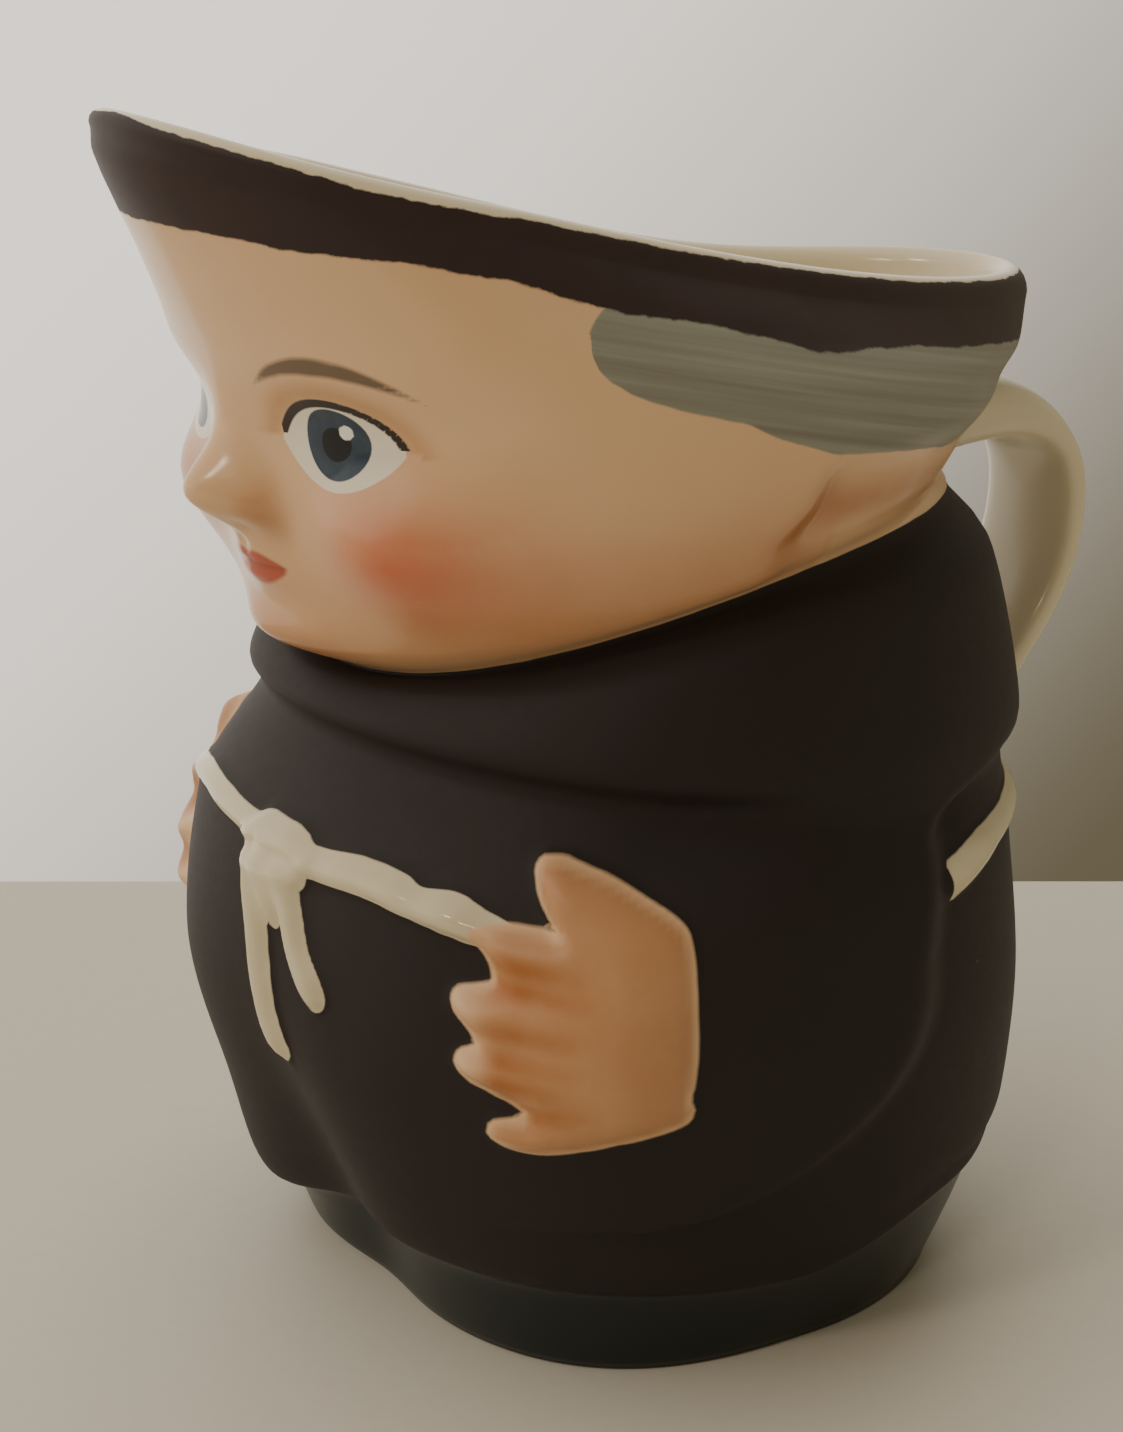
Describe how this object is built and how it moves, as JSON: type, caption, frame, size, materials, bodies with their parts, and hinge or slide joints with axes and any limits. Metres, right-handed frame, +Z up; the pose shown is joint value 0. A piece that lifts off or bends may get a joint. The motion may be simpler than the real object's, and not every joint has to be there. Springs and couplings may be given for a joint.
{
  "type": "creamer",
  "caption": "Ceramic creamer shaped as a stout monk in a hooded brown robe with a rope belt, pouring lip over the forehead and a cream strap handle at the back.",
  "frame": {"origin": "centre of the flat underside", "axes": "+Z up; the figure and its pouring lip face -Y, the handle is at +Y, and the figure's left hand is on the +X side"},
  "size_m": [0.0764, 0.0957, 0.1041],
  "materials": {
    "glazed_ceramic": "gloss"
  },
  "bodies": {
    "root": {"creamer": "glazed_ceramic"}
  },
  "joints": []
}
